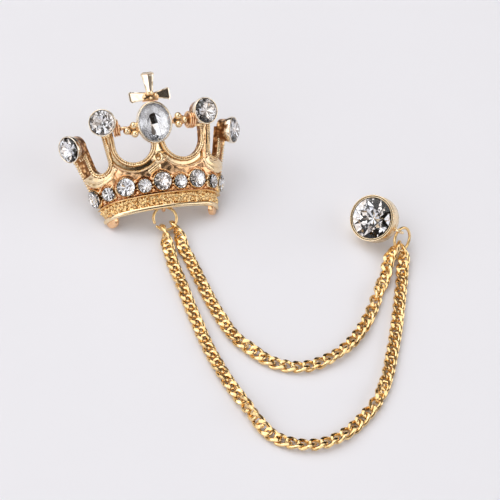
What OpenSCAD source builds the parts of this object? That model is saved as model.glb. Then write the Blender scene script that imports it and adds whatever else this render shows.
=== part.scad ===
// Lapel brooch: a cast crown set with clear stones, two curb chains, and a round stud pin.
// It lies on a flat surface. The crown rests on its two feet and on the keeper of its pin.

/* [Crown wall] */
// Radius of the crown's flat front, at the middle of the wall
front_r = 30; // [27:1:34]
// Half of the angle that the flat front takes up
front_turn = 18.5; // [17.5:0.5:19.5]
// Radius of the crown's bent ends, at the middle of the wall
end_r = 5; // [4.5:0.25:6]
// Turn of the crown's two end edges
end_turn = 78; // [76:1:82]
// Outward lean of the wall
flare = 18; // [16:1:20]
// Thickness of the cast wall
wall_t = 1.2; // [1:0.1:1.4]
// Distance up the slope from the bottom edge to the top of the posts
post_top = 20; // [19.5:0.25:20.5]
// Lean of the whole crown from the surface that it lies on
rest_lean = 20; // [20:1:20]

/* [Band and stone row] */
// Height of the smooth rim at the bottom edge
rim_h = 0.8; // [0.6:0.1:1]
// Height of the lower band with its rims
band_h = 3.9; // [3.6:0.1:4]
// Radius of the five large stones of the row
big_stone_r = 2.1; // [1.9:0.05:2.15]
// Radius of the four small stones of the row
small_stone_r = 1.6; // [1.4:0.05:1.65]
// Distance from one stone of the row to the next
row_step = 4.4; // [4.4:0.05:4.6]
// Distance up the slope to the lowest point of the row's settings
row_low = 4.15; // [4.1:0.05:4.3]
// Radius of the rounded feet at the band's ends
foot_r = 1.75; // [1.75:0.05:1.75]

/* [Openings] */
// Radius of the two large scalloped openings
wide_opening_r = 4.4; // [4.2:0.1:4.5]
// Distance up the slope to the lowest point of a large opening
wide_opening_low = 11.9; // [11.7:0.1:12.2]
// Radius of the two small scalloped openings at the sides
side_opening_r = 2.2; // [2:0.1:2.3]
// Distance up the slope to the lowest point of a side opening
side_opening_low = 11.2; // [11:0.1:11.6]
// Width of the raised rope that borders an opening
rope_w = 0.95; // [0.8:0.05:1]

/* [Finials] */
// Radius of the four round stones on the posts
finial_stone_r = 2.9; // [2.7:0.1:2.9]
// Radius of the lip round such a stone
finial_lip_r = 3.25; // [3.2:0.05:3.3]
// Depth of a round setting from its back to its lip
finial_depth = 3.5; // [3.2:0.1:3.6]
// Half width of the oval stone
oval_half_w = 3.8; // [3.6:0.1:3.8]
// Half height of the oval stone
oval_half_h = 4.55; // [4.4:0.05:4.55]
// Width of the metal round the oval stone
oval_lip = 0.5; // [0.45:0.05:0.6]
// Length of the cross's side arms from the hub's centre
cross_arm = 4.9; // [4.5:0.1:5]
// Length of the cross's top arm from the hub's centre
cross_top_arm = 5.7; // [5.4:0.1:5.8]

/* [Chains and rings] */
// Distance from one link to the next
link_step = 2.9; // [2.9:0.01:2.9]
// Half length of a link, at the middle of its wire
link_half_l = 2.05; // [2.05:0.01:2.05]
// Half width of a link, at the middle of its wire
link_half_w = 1.2; // [1.15:0.05:1.25]
// Twist of a link, as the rise of its wire
link_twist = 0.42; // [0.42:0.01:0.45]
// Radius of a link's wire
link_wire_r = 0.34; // [0.3:0.01:0.34]
// Radius of a jump ring, at the middle of its wire
ring_r = 2.8; // [2.8:0.1:2.8]
// Radius of a jump ring's wire
ring_wire_r = 0.35; // [0.3:0.01:0.35]

/* [Stud pin] */
// Radius of the stud's cup
cup_r = 5.65; // [5.5:0.05:5.7]
// Depth of the stud's cup
cup_depth = 4.2; // [4:0.1:4.4]
// Radius of the stud's stone
stud_stone_r = 5; // [4.8:0.1:5]
// Radius of the stud's post
stud_post_r = 0.5; // [0.45:0.05:0.6]

/* [Hidden] */
$fn = 64;
gold = "goldenrod";
clear = "ghostwhite";
gap = 0.05;
bite = 0.2;

// Where the crown's bottom edge stands over the surface, and the middle of the whole footprint.
crown_lift = 5.56;
footprint_mid = [17.53, -22.23];

// Heights in front of the middle of the wall.
wall_half = wall_t / 2;
rope_front = 1.15;
ridge_front = 1;
band_front = 1.2;
rim_front = 1.4;
setting_front = 1.5;
oval_front = 1.8;

// The posts, by their turn. The finials stand on them.
inner_turn = 18.25;
outer_turn = 58;
inner_rise = 22.5;
outer_rise = 19.4;
finial_turns = [-outer_turn, -inner_turn, inner_turn, outer_turn];
finial_rises = [outer_rise, inner_rise, inner_rise, outer_rise];
inner_extra = 2.4;
finial_body_r = 2.75;
finial_lip_h = 1.2;
finial_seat_depth = 0.85;
oval_rise = 20.6;
hub_rise = 27;

// The row of stones, counted from its left end.
row_is_big = [true, false, true, false, true, false, true, false, true];
setting_wall = 0.25;

// The middle of each opening, and how far its straight sides run.
wide_opening_turn = 9.4;
side_opening_turn = 37;
opening_run = 10;

// A crown-shaped plan: one arc for the front and a tighter one for each end, tangent where they meet.
function arc_r(turn) = abs(turn) <= front_turn ? front_r : end_r;
function arc_centre(turn) = abs(turn) <= front_turn
    ? [0, front_r]
    : [
        sign(turn) * (front_r - end_r) * sin(front_turn),
        front_r - (front_r - end_r) * cos(front_turn)
    ];

// A point of the leaning wall: a turn, a distance up the slope and a height in front of its middle.
function wall_point(turn, rise, front) =
    let (
        centre = arc_centre(turn),
        r = arc_r(turn) + rise * sin(flare) + front * cos(flare)
    )
    [
        centre.x + r * sin(turn),
        centre.y - r * cos(turn),
        rise * cos(flare) - front * sin(flare)
    ];

// The turn that lies a given length along the row of settings.
function row_turn(along) =
    let (
        shift = row_low * sin(flare) + setting_front,
        flat = (front_r + shift) * front_turn * PI / 180,
        past = max(abs(along) - flat, 0),
        on_flat = min(abs(along), flat)
    )
    sign(along) * (on_flat / (front_r + shift) + past / (end_r + shift)) * 180 / PI;

function stone_r(i) = row_is_big[i] ? big_stone_r : small_stone_r;
function row_rise(i) = row_low + setting_wall + stone_r(i);
function ellipse(a, b, n) = [for (i = [0:n - 1]) [a * cos(360 * i / n), b * sin(360 * i / n)]];

// Puts children on the wall: local Z points out of it and local Y up its slope.
module on_wall(turn, rise, front = 0) {
    translate(wall_point(turn, rise, front))
        rotate([90 + flare, 0, turn])
            children();
}

// Lays the crown and what is fixed to it on the surface.
module crown_place() {
    translate([-footprint_mid.x, -footprint_mid.y, crown_lift])
        rotate([rest_lean - 90, 0, 0])
            children();
}

// Lays the chains, the rings and the stud beside the crown, on the same surface.
module floor_place() {
    translate([-footprint_mid.x, -footprint_mid.y, 0])
        children();
}

// One stretch of the leaning wall, turned about the middle of its own arc.
module wall_arc(from_turn, to_turn, low, high, back, front, lap = 0) {
    middle = (from_turn + to_turn) / 2;
    r = arc_r(middle);
    centre = arc_centre(middle);
    translate([centre.x, centre.y, 0])
        rotate_extrude(start = from_turn - lap - 90, angle = to_turn - from_turn + lap)
            polygon([
                for (p = [[low, back], [low, front], [high, front], [high, back]])
                    [
                        r + p[0] * sin(flare) + p[1] * cos(flare),
                        p[0] * cos(flare) - p[1] * sin(flare)
                    ]
            ]);
}

// The wall from end edge to end edge, between two distances up the slope and two heights.
// The bent ends stand a hair proud of the front and lap over it, behind the inner posts.
// The front can reach some extra way up, to the backs of the inner finials.
module wall_band(low, high, back, front, extra = 0) {
    proud = 0.05;
    lap = 2;
    wall_arc(-front_turn, front_turn, low, high + extra, back, front);
    for (side = [0, 1])
        mirror([side, 0, 0])
            wall_arc(front_turn, end_turn, low, high, back + proud, front + proud, lap);
}

// A scalloped opening as a solid that goes through the wall: round below, and open upwards.
module opening(turn, low, r, grow, splay) {
    on_wall(turn, low + r, -3) {
        cylinder(r = r + grow, h = 6);
        linear_extrude(height = 6)
            polygon([
                [-r - grow, 0],
                [r + grow, 0],
                [r + grow + splay, opening_run],
                [-r - grow - splay, opening_run]
            ]);
    }
}

module all_openings(grow = 0) {
    for (side = [-1, 1]) {
        opening(side * wide_opening_turn, wide_opening_low, wide_opening_r, grow, 0.1);
        opening(side * side_opening_turn, side_opening_low, side_opening_r, grow, 0.7);
    }
}

// The wall with its openings, and the raised rope that borders each opening.
module pierced_wall() {
    difference() {
        union() {
            wall_band(0, post_top, -wall_half, wall_half, inner_extra);
            intersection() {
                wall_band(band_h, post_top, wall_half - bite, rope_front);
                all_openings(rope_w);
            }
        }
        all_openings();
    }
}

// The lower band: a field for the granulation between a rim and a fine line.
module lower_band() {
    fine_line = 0.35;
    step = 0.08;
    wall_band(0, rim_h, wall_half - bite, rim_front);
    wall_band(rim_h - bite, band_h - step, wall_half - bite - step, band_front);
    wall_band(band_h - fine_line, band_h, wall_half - bite, rim_front);
}

// Round rods through the wall, one at each stone of the row.
module row_rods(grow, back, front) {
    for (i = [0:8])
        on_wall(row_turn((i - 4) * row_step), row_rise(i), back)
            cylinder(r = stone_r(i) + grow, h = front - back);
}

// The wavy ridge that follows the tops of the row's settings.
module row_ridge() {
    ridge_w = 0.8;
    intersection() {
        wall_band(band_h - 0.15, wide_opening_low - 0.6, wall_half - bite, ridge_front);
        row_rods(setting_wall + ridge_w, -1, 3);
    }
}

// A post's fluted front: parallel rods up the slope.
module flutes(turn, low, high, count, step, r) {
    for (i = [0:count - 1])
        on_wall(turn, low, wall_half)
            translate([(i - (count - 1) / 2) * step, 0, 0])
                rotate([-90, 0, 0])
                    cylinder(r = r, h = high - low);
}

module posts() {
    flute_r = 0.36;
    for (side = [-1, 1]) {
        flutes(side * inner_turn, 10.4, post_top - 0.4, 3, 0.62, flute_r);
        flutes(side * 52.5, 10.6, 18.5, 1, 0, 0.42);
        flutes(side * 74.5, 8.6, 18, 1, 0, 0.42);
    }
}

// A round setting: a deep cup with a lip, on its own short back.
module finial_cup(turn, rise) {
    on_wall(turn, rise, wall_half - bite) {
        cylinder(r = finial_body_r, h = finial_depth + bite);
        translate([0, 0, finial_depth + bite - finial_lip_h])
            cylinder(r = finial_lip_r, h = finial_lip_h);
    }
}

module finial_seat(turn, rise) {
    on_wall(turn, rise, wall_half + finial_depth - finial_seat_depth)
        cylinder(r = finial_stone_r + gap, h = 3);
}

// The oval setting stands on the stem between the two large openings.
module oval_cup() {
    on_wall(0, oval_rise, -wall_half)
        linear_extrude(height = wall_half + oval_front)
            polygon(ellipse(oval_half_w + oval_lip, oval_half_h + oval_lip, 48));
}

module oval_seat() {
    on_wall(0, oval_rise, 0.3)
        linear_extrude(height = 3)
            polygon(ellipse(oval_half_w + gap, oval_half_h + gap, 48));
}

// One flared arm of the cross, with cut corners at its tip.
module cross_limb(length, base_w, tip_w) {
    corner = 0.45;
    linear_extrude(height = 1.2)
        polygon([
            [-base_w / 2, 0],
            [base_w / 2, 0],
            [tip_w / 2, length - corner],
            [tip_w / 2 - corner, length],
            [-tip_w / 2 + corner, length],
            [-tip_w / 2, length - corner]
        ]);
}

module cross() {
    hub_r = 1.2;
    base_w = 1.5;
    on_wall(0, hub_rise, -0.4) {
        cylinder(r = hub_r, h = 1.7);
        cross_limb(cross_top_arm, base_w, 3.3);
        for (side = [-1, 1])
            rotate([0, 0, side * 88])
                cross_limb(cross_arm, base_w, 3);
        rotate([0, 0, 180])
            cross_limb(2.2, 2.2, 2.8);
    }
}

// Three balls on a small plate, and a disc, which bridge from the oval to an inner finial.
module trefoil(side) {
    ball_r = 0.8;
    ball_front = 0.55;
    bow = 0.0145;
    bar = [6.4, 0.9, 0.8];
    stem = [1.2, 2.4, 0.7];
    disc_r = 1.85;
    for (ball = [[5.55, 21.4], [5.45, 19.4], [7.2, 20.2]])
        on_wall(0, ball[1], ball_front)
            translate([side * ball[0], 0, -bow * ball[0] * ball[0]])
                sphere(r = ball_r);
    on_wall(side * 10.5, 20.3, -0.3) {
        translate([-bar.x / 2, -bar.y / 2, 0])
            cube(bar);
        translate([-side * 1.6 - stem.x / 2, -stem.y / 2, 0])
            cube(stem);
    }
    on_wall(side * 15, 20.8, 0.75)
        rotate([0, side * 90, 0])
            cylinder(r = disc_r, h = 0.9, center = true);
}

module feet() {
    for (side = [-1, 1])
        on_wall(side * 62, 0, -wall_half)
            cylinder(r = foot_r, h = wall_half + 0.8);
}

// The eye behind the band, in which the crown's jump ring hangs.
eye_back = 1.95;
eye_h = 1.1;
eye_r = 1.2;
eye_hole_r = 0.62;
eye_t = 0.8;

module ring_eye() {
    translate([0, eye_back, eye_h])
        rotate([0, 90, 0])
            cylinder(r = eye_r, h = eye_t, center = true);
    translate([-eye_t / 2, 0, eye_h - 0.6])
        cube([eye_t, eye_back, 1.2]);
}

module ring_eye_hole() {
    translate([0, eye_back, eye_h])
        rotate([0, 90, 0])
            cylinder(r = eye_hole_r, h = 3, center = true);
}

module crown() {
    color(gold)
        crown_place()
            difference() {
                union() {
                    pierced_wall();
                    lower_band();
                    row_ridge();
                    row_rods(setting_wall, 0, setting_front);
                    posts();
                    for (i = [0:3])
                        finial_cup(finial_turns[i], finial_rises[i]);
                    oval_cup();
                    cross();
                    trefoil(-1);
                    trefoil(1);
                    feet();
                    ring_eye();
                }
                row_rods(gap, 0.3, 3);
                for (i = [0:3])
                    finial_seat(finial_turns[i], finial_rises[i]);
                oval_seat();
                ring_eye_hole();
            }
}

// The crown's pin: a pad on the back of the wall, a straight post and the round keeper on its end.
pin_rise = 9;
pin_pad_r = 2.4;
pin_pad_h = 0.7;
pin_post_r = 0.55;
pin_length = 11.15;
keeper_r = 2.8;
keeper_h = 2.6;

module pin_back() {
    color(gold)
        crown_place()
            on_wall(0, pin_rise, -wall_half - gap - 0.1)
                rotate([180, 0, 0]) {
                    cylinder(r = pin_pad_r, h = pin_pad_h);
                    cylinder(r = pin_post_r, h = pin_length);
                    translate([0, 0, pin_length - keeper_h])
                        cylinder(r = keeper_r, h = keeper_h);
                }
}

// A cut stone: a table, a crown of 24 facets, a thin girdle and a pointed pavilion below.
// Local Z = 0 is the lower edge of the girdle.
module cut_stone(a, b, crown_h, pavilion_h) {
    table = 0.56;
    girdle_h = 0.12;
    table_pts = [for (p = ellipse(a * table, b * table, 8)) [p.x, p.y, girdle_h + crown_h]];
    upper_pts = [for (p = ellipse(a, b, 16)) [p.x, p.y, girdle_h]];
    lower_pts = [for (p = ellipse(a, b, 16)) [p.x, p.y, 0]];
    upper = 8;
    lower = 24;
    culet = 40;
    polyhedron(
        points = concat(table_pts, upper_pts, lower_pts, [[0, 0, -pavilion_h]]),
        faces = concat(
            [[for (i = [7:-1:0]) i]],
            [for (i = [0:7]) [i, upper + 2 * i, upper + (2 * i + 15) % 16]],
            [for (i = [0:7]) [i, upper + 2 * i + 1, upper + 2 * i]],
            [for (i = [0:7]) [i, (i + 1) % 8, upper + 2 * i + 1]],
            [for (i = [0:15]) [upper + i, upper + (i + 1) % 16, lower + (i + 1) % 16, lower + i]],
            [for (i = [0:15]) [lower + i, lower + (i + 1) % 16, culet]]
        )
    );
}

module oval_stone() {
    color(clear)
        crown_place()
            on_wall(0, oval_rise, 1.5)
                cut_stone(oval_half_w, oval_half_h, 1.3, 1.15);
}

module finial_stone(i) {
    color(clear)
        crown_place()
            on_wall(finial_turns[i], finial_rises[i], wall_half + finial_depth - 0.15)
                cut_stone(finial_stone_r, finial_stone_r, 1.1, 0.62);
}

module band_stone(i) {
    r = stone_r(i);
    color(clear)
        crown_place()
            on_wall(row_turn((i - 4) * row_step), row_rise(i), setting_front - 0.1)
                cut_stone(r, r, 0.36 * r, 1.05);
}

// A leaning jump ring, with the lowest point of its wire's middle at the given place.
module jump_ring(low_point, lean, turn) {
    color(gold)
        floor_place()
            translate(low_point)
                rotate([lean, 0, turn])
                    translate([0, ring_r, 0])
                        rotate_extrude()
                            translate([ring_r, 0])
                                circle(r = ring_wire_r);
}

crown_ring_low = [0, -3.09, 1.2];
crown_ring_lean = 31.2;

module crown_ring() {
    jump_ring(crown_ring_low, crown_ring_lean, 0);
}

// The chains' routes over the surface, as [x, y, height of the link's middle, roll].
floor_z = 0.81;
outer_route = [
    [-0.95, -3.8, 1.53, 102],
    [-1.11, -6.89, 1.38, 33],
    [-1.01, -9.71, 1.02, 4],
    [-1.15, -12.7, floor_z, 0],
    [-0.7, -20, floor_z, 0],
    [-0.2, -29, floor_z, 0],
    [0.6, -38, floor_z, 0],
    [2.2, -47, floor_z, 0],
    [4.1, -54, floor_z, 0],
    [5.9, -60.5, floor_z, 0],
    [8.6, -65, floor_z, 0],
    [13, -68, floor_z, 0],
    [18.2, -69, floor_z, 0],
    [23.4, -68, floor_z, 0],
    [28.5, -65.2, floor_z, 0],
    [34, -60.8, floor_z, 0],
    [38.2, -55.5, floor_z, 0],
    [42.2, -48.3, floor_z, 0],
    [46, -40.6, floor_z, 0],
    [51.6, -28, floor_z, 0],
    [52.51, -25.46, 1, 1],
    [54, -22.31, 1.33, -11],
    [54.61, -19.75, 1.57, 95]
];
inner_route = [
    [1.93, -3.23, 1.7, 100],
    [2.49, -6.31, 1.34, 31],
    [2.48, -9.24, 0.98, 1],
    [3.1, -12.4, floor_z, 0],
    [4, -20, floor_z, 0],
    [5, -27, floor_z, 0],
    [6.3, -33, floor_z, 0],
    [8, -37.8, floor_z, 0],
    [11, -42.3, floor_z, 0],
    [15, -46, floor_z, 0],
    [20.4, -48, floor_z, 0],
    [26, -47.3, floor_z, 0],
    [31.5, -45, floor_z, 0],
    [36.5, -41.2, floor_z, 0],
    [41, -36, floor_z, 0],
    [45, -30.2, floor_z, 0],
    [48.2, -25.8, floor_z, 1],
    [49.54, -23.14, 0.98, 0],
    [51.08, -20.79, 1.49, 1],
    [52.73, -19.28, 2.48, 135]
];

// A smooth curve through the route's points, as a list of finely spaced points.
route_steps = 8;
function control(p, i) = p[min(max(i, 0), len(p) - 1)];
function between(p, i, t) =
    let (a = control(p, i - 1), b = control(p, i), c = control(p, i + 1), d = control(p, i + 2))
    0.5 * (2 * b + (c - a) * t + (2 * a - 5 * b + 4 * c - d) * t * t + (3 * b - a - 3 * c + d) * t * t * t);
function fine_route(p) = concat(
    [for (i = [0:len(p) - 2]) for (k = [0:route_steps - 1]) between(p, i, k / route_steps)],
    [p[len(p) - 1]]
);
function place_of(p) = [p[0], p[1], p[2]];
function steps_of(c) = [for (i = [1:len(c) - 1]) norm(place_of(c[i]) - place_of(c[i - 1]))];
function sums(v) = [for (i = 0, s = 0; i <= len(v); s = s + (i < len(v) ? v[i] : 0), i = i + 1) s];
function tables(c, run) = [for (axis = [0:3]) [for (i = [0:len(c) - 1]) [run[i], c[i][axis]]]];
function at(table, s) = [for (axis = [0:2]) lookup(s, table[axis])];

outer_fine = fine_route(outer_route);
outer_run = sums(steps_of(outer_fine));
inner_fine = fine_route(inner_route);
inner_run = sums(steps_of(inner_fine));

// One link: a twisted oval loop of round wire, as one closed surface.
link_around = 12;
link_wire_sides = 5;
function link_mid(t) = [link_half_l * cos(t), link_half_w * sin(t), link_twist * sin(2 * t)];
function link_along(t) =
    let (v = [-link_half_l * sin(t), link_half_w * cos(t), 2 * link_twist * cos(2 * t)])
    v / norm(v);
function link_ring(t) =
    let (
        along = link_along(t),
        side = cross(along, [0, 0, 1]) / norm(cross(along, [0, 0, 1])),
        up = cross(side, along)
    )
    [
        for (k = [0:link_wire_sides - 1])
            let (a = 360 * k / link_wire_sides)
            link_mid(t) + link_wire_r * (cos(a) * side + sin(a) * up)
    ];
link_points = [for (j = [0:link_around - 1]) each link_ring(360 * j / link_around)];
link_faces = [
    for (j = [0:link_around - 1])
        for (k = [0:link_wire_sides - 1])
            let (
                j2 = (j + 1) % link_around,
                k2 = (k + 1) % link_wire_sides
            )
            each [
                [j * link_wire_sides + k, j * link_wire_sides + k2, j2 * link_wire_sides + k2],
                [j * link_wire_sides + k, j2 * link_wire_sides + k2, j2 * link_wire_sides + k]
            ]
];

module link() {
    polyhedron(points = link_points, faces = link_faces);
}

// Links at even steps along a route, each turned along it and rolled by the route's own amount.
module chain(fine, run) {
    total = run[len(run) - 1];
    count = round(total / link_step);
    step = total / count;
    table = tables(fine, run);
    for (i = [0:count]) {
        s = i * step;
        middle = at(table, s);
        ahead = at(table, min(s + step / 2, total)) - at(table, max(s - step / 2, 0));
        along = ahead / norm(ahead);
        flat_side = cross([0, 0, 1], along) / norm(cross([0, 0, 1], along));
        flat_up = cross(along, flat_side);
        roll = lookup(s, table[3]);
        side = flat_side * cos(roll) + flat_up * sin(roll);
        up = flat_up * cos(roll) - flat_side * sin(roll);
        multmatrix([
            [along.x, side.x, up.x, middle.x],
            [along.y, side.y, up.y, middle.y],
            [along.z, side.z, up.z, middle.z]
        ])
            link();
    }
}

module chain_outer() {
    color(gold)
        floor_place()
            chain(outer_fine, outer_run);
}

module chain_inner() {
    color(gold)
        floor_place()
            chain(inner_fine, inner_run);
}

stud_ring_low = [55.42, -18.77, 1.16];
stud_ring_lean = 63;
stud_ring_turn = 32.3;

module stud_ring() {
    jump_ring(stud_ring_low, stud_ring_lean, stud_ring_turn);
}

// The stud lies on the back edge of its cup and on the tip of its post.
stud_back = [50.62, -11.17];
stud_tilt = 46;
stud_turn = 208;
stud_eye_turn = 102;
stud_eye_rise = 1.38;
stud_eye_r = 1.1;
stud_eye_wire_r = 0.32;

module stud_place() {
    floor_place()
        translate([stud_back.x, stud_back.y, cup_r * sin(stud_tilt)])
            rotate([0, stud_tilt, stud_turn])
                children();
}

module stud_cup() {
    floor_h = 0.9;
    color(gold)
        stud_place() {
            difference() {
                cylinder(r = cup_r, h = cup_depth);
                translate([0, 0, floor_h])
                    cylinder(r = stud_stone_r + gap, h = cup_depth);
            }
            rotate([0, 0, stud_eye_turn])
                translate([cup_r + stud_eye_r - 0.1, 0, stud_eye_rise])
                    rotate([90, 0, 0])
                        rotate_extrude()
                            translate([stud_eye_r, 0])
                                circle(r = stud_eye_wire_r);
        }
}

module stud_stone() {
    color(clear)
        stud_place()
            translate([0, 0, cup_depth - 0.3])
                cut_stone(stud_stone_r, stud_stone_r, 1.6, 2.8);
}

stud_post_length = 5.28;

module stud_post() {
    pad_r = 1.6;
    pad_h = 0.4;
    color(gold)
        stud_place()
            translate([0, 0, -gap])
                rotate([180, 0, 0]) {
                    cylinder(r = pad_r, h = pad_h);
                    cylinder(r = stud_post_r, h = stud_post_length);
                }
}

crown();
pin_back();
oval_stone();
for (i = [1:4])
    finial_stone(i - 1);
for (i = [1:9])
    band_stone(i - 1);
crown_ring();
chain_outer();
chain_inner();
stud_ring();
stud_cup();
stud_stone();
stud_post();
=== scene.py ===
"""The looks of a lapel brooch: a cast crown set with clear stones, two curb chains and a round stud pin."""
import math
from itertools import product

import bmesh
import bpy
import numpy as np
from bpy.props import FloatProperty, FloatVectorProperty, IntProperty, PointerProperty
from bpy.types import Operator, Panel, PropertyGroup
from mathutils import Matrix, Vector


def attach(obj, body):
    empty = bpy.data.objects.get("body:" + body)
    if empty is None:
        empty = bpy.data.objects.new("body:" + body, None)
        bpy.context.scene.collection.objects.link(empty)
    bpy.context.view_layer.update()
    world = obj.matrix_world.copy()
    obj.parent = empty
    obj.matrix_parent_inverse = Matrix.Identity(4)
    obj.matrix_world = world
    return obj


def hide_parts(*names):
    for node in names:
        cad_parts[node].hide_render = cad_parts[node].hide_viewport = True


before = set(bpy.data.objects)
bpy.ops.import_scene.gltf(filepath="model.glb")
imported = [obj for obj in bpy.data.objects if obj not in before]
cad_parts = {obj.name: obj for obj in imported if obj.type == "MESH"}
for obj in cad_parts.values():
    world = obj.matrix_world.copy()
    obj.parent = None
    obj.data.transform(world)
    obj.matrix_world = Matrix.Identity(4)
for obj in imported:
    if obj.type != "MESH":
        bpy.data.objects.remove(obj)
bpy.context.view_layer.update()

bl_info = {
    "name": "Crown Lapel Brooch",
    "version": (1, 0, 0),
    "blender": (4, 5, 0),
    "location": "3D View > Sidebar > Brooch",
    "description": "Makes a crown lapel brooch with two chains and a stud pin",
    "category": "Object",
}

MM = 0.001

# The plan of the crown's wall, in millimetres and degrees, in the crown's own upright frame.
FRONT_R, FRONT_TURN, END_R, END_TURN = 30.0, 18.5, 5.0, 78.0
FLARE = math.radians(18)
WALL_HALF = 0.6
POST_TOP = 20.0
LEAN = math.radians(-70)
PLACE = (-17.53, 22.23, 5.56)
BAND_H = 3.9
# Left and right openings: turn, lowest point, radius, and how far each side leans out over OPENING_RUN.
# The right inner post stands further out than the left one, so the right openings differ.
WIDE_OPENINGS = (-9.0, 11.9, 4.4, 0.1), (10.65, 11.9, 4.75, 0.1)
SIDE_OPENINGS = (-37.0, 11.2, 2.2, 0.7), (41.6, 12.2, 1.55, 0.5)
RIGHT_POST_SHIFT, RIGHT_POST_TURN = 1.15, 1.9
OPENING_RUN = 10.0
# Outlines of the plate below a finial, and of the flared one over the right inner post.
FINIAL_FOOT = (-1.1, -3.4), (1.1, -3.4), (1.25, -1.6), (1.5, 0), (-1.5, 0), (-1.25, -1.6)
MOVED_FOOT = (-0.75, -3.4), (2.0, -3.4), (2.3, -1.5), (1.9, 0), (-1.5, 0), (-1.25, -1.6)
ROPE_W = 0.95
INNER_TURN, INNER_RISE = 18.25, 22.5
OUTER_TURN, OUTER_RISE = 58.0, 19.4
FINIALS = (
    (-OUTER_TURN, OUTER_RISE),
    (-INNER_TURN, INNER_RISE),
    (INNER_TURN, INNER_RISE),
    (OUTER_TURN, OUTER_RISE),
)
FINIAL_FRONT = 0.4
OVAL_RISE, HUB_RISE = 20.6, 27.0
OVAL_HALF_W, OVAL_HALF_H, OVAL_LIP = 3.8, 4.55, 0.5
FINIAL_STONE_R = 2.9
ROW_STEP, ROW_LOW, SETTING_WALL, SETTING_FRONT = 4.4, 4.15, 0.25, 1.5
ROW_RADII = (2.1, 1.6, 2.1, 1.6, 2.1, 1.6, 2.1, 1.6, 2.1)


def arc_of(turn):
    """Radius and middle of the arc that a turn of the wall, in degrees, lies on."""
    turn = np.asarray(turn, float)
    front = np.abs(turn) <= FRONT_TURN
    reach = (FRONT_R - END_R) * math.sin(math.radians(FRONT_TURN))
    back = FRONT_R - (FRONT_R - END_R) * math.cos(math.radians(FRONT_TURN))
    return (
        np.where(front, FRONT_R, END_R),
        np.where(front, 0, np.sign(turn) * reach),
        np.where(front, FRONT_R, back),
    )


def wall_points(turn, rise, height):
    """Points of the leaning wall in the upright frame: turn, rise up the slope, height off its middle."""
    r, mid_x, mid_y = arc_of(turn)
    rise, height = np.asarray(rise, float), np.asarray(height, float)
    r = r + rise * math.sin(FLARE) + height * math.cos(FLARE)
    a = np.radians(turn)
    z = rise * math.cos(FLARE) - height * math.sin(FLARE)
    return np.stack([mid_x + r * np.sin(a), mid_y - r * np.cos(a), z + 0 * r], -1)


def crown_matrix():
    return Matrix.Translation(PLACE) @ Matrix.Rotation(LEAN, 4, "X")


def wall_matrix(turn, rise, height=0.0):
    """The upright frame's matrix for a spot of the wall: local Z out of it and local Y up its slope."""
    spot = wall_points(turn, rise, height)
    turned = Matrix.Rotation(math.radians(turn), 4, "Z") @ Matrix.Rotation(math.pi / 2 + FLARE, 4, "X")
    return Matrix.Translation(Vector(spot)) @ turned


def on_crown(turn, rise, height=0.0):
    return crown_matrix() @ wall_matrix(turn, rise, height)


def row_turn(along):
    """The turn that lies a given length along the row of settings."""
    shift = ROW_LOW * math.sin(FLARE) + SETTING_FRONT
    flat = (FRONT_R + shift) * math.radians(FRONT_TURN)
    past = max(abs(along) - flat, 0)
    turn = min(abs(along), flat) / (FRONT_R + shift) + past / (END_R + shift)
    return math.copysign(math.degrees(turn), along)


ROW = [(row_turn((i - 4) * ROW_STEP), ROW_LOW + SETTING_WALL + r, r) for i, r in enumerate(ROW_RADII)]


# Sizes and colours that a user would change


class BroochMetal(PropertyGroup):
    crown_gold: FloatVectorProperty(
        name="Crown gold",
        description="Colour of the crown's polished gold",
        subtype="COLOR",
        default=(0.93, 0.755, 0.51),
    )
    chain_gold: FloatVectorProperty(
        name="Chain gold",
        description="Colour of the chains' gold",
        subtype="COLOR",
        default=(0.91, 0.67, 0.35),
    )
    # the colour of the painted shade in the gold's hollows
    hollow_shade_gold: FloatVectorProperty(
        name="Depth colour",
        description="Colour of the gold in its hollows",
        subtype="COLOR",
        default=(0.46, 0.22, 0.08),
    )
    shine: FloatProperty(
        name="Roughness",
        description="Roughness of the polished gold",
        default=0.17,
        min=0.02,
        max=0.6,
        subtype="FACTOR",
    )


class BroochRelief(PropertyGroup):
    cell: FloatProperty(
        name="Relief cell",
        description="Size of one cell of the cast relief",
        default=0.13 * MM,
        min=0.08 * MM,
        unit="LENGTH",
    )
    nugget: FloatProperty(
        name="Nugget size",
        description="Size of the band's nuggets",
        default=0.84 * MM,
        min=0.3 * MM,
        unit="LENGTH",
    )
    nugget_depth: FloatProperty(
        name="Nugget depth",
        description="Depth between the band's nuggets",
        default=0.38 * MM,
        min=0.0,
        unit="LENGTH",
    )
    bead: FloatProperty(
        name="Edge bead",
        description="Size of the small beads along the edges",
        default=0.5 * MM,
        min=0.2 * MM,
        unit="LENGTH",
    )


class BroochChain(PropertyGroup):
    wire: FloatProperty(
        name="Link wire",
        description="Radius of a link's wire",
        default=0.45 * MM,
        min=0.2 * MM,
        max=0.55 * MM,
        unit="LENGTH",
    )
    around: IntProperty(
        name="Steps round a link",
        description="Segments round one link",
        default=28,
        min=12,
        max=48,
    )
    sides: IntProperty(
        name="Sides of the wire",
        description="Sides of a link's wire",
        default=10,
        min=6,
        max=16,
    )


class BroochStage(PropertyGroup):
    floor_colour: FloatVectorProperty(
        name="Floor",
        description="Colour of the pale floor",
        subtype="COLOR",
        default=(0.84, 0.84, 0.89),
    )
    lens: FloatProperty(
        name="Lens",
        description="Focal length of the camera in millimetres",
        default=134.1,
        min=20,
        max=300,
    )
    light: FloatProperty(
        name="Light",
        description="Strength of the room's light",
        default=0.88,
        min=0,
        max=10,
    )


# Shader expressions


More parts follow.
